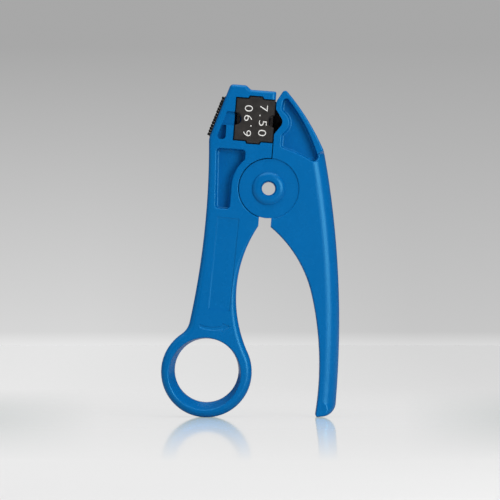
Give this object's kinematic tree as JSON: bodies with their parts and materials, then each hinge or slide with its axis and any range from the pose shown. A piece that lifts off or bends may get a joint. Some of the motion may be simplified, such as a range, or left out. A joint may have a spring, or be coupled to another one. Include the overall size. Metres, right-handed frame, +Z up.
{
  "type": "coaxial cable stripper",
  "caption": "Scissor-shaped coaxial cable stripper: sprung lever on a lapped hub, finger ring, notched jaw, snap-in blade cartridge and a braid comb on the head.",
  "frame": {"origin": "on the ground below the middle of the tool's box, as it stands on its ring and foot", "axes": "+Z up towards the jaws, +X from the ring handle towards the lever, -Y towards the front with the cartridge"},
  "size_m": [0.0748, 0.0174, 0.1395],
  "materials": {
    "blue_plastic": "satin moulded",
    "black_plastic": "fine grained",
    "comb_plastic": "dull",
    "tape_foam": "dull",
    "blade_steel": "ground",
    "rivet_steel": "turned",
    "spring_steel": "drawn wire"
  },
  "bodies": {
    "handle": {"ring_handle": "blue_plastic", "pivot_sleeve": "blue_plastic", "pivot_cap": "blue_plastic", "torsion_spring": "spring_steel", "braid_comb": "comb_plastic", "comb_tape": "tape_foam"},
    "lever": {"squeeze_lever": "blue_plastic", "cable_anvil": "black_plastic"},
    "cartridge": {"cartridge_front_plate": "black_plastic", "cartridge_spacer": "black_plastic", "cartridge_back_plate": "black_plastic", "cartridge_rivets": "rivet_steel", "jacket_blade_a": "blade_steel", "jacket_blade_b": "blade_steel", "core_blade_a": "blade_steel", "core_blade_b": "blade_steel"}
  },
  "joints": [
    {"name": "lever_pivot", "type": "hinge", "parent": "handle", "child": "lever", "pos_m": [0.00768, 0.00012, 0.09584], "axis": [0, 1, 0], "range_deg": [0, 18], "stiffness_Nm_per_rad": 0.6, "springref_deg": -28.65, "deforming": ["torsion_spring"]},
    {"name": "cartridge_release", "type": "slide", "parent": "handle", "child": "cartridge", "axis": [0, -1, 0], "range_m": [0, 0.02]}
  ]
}
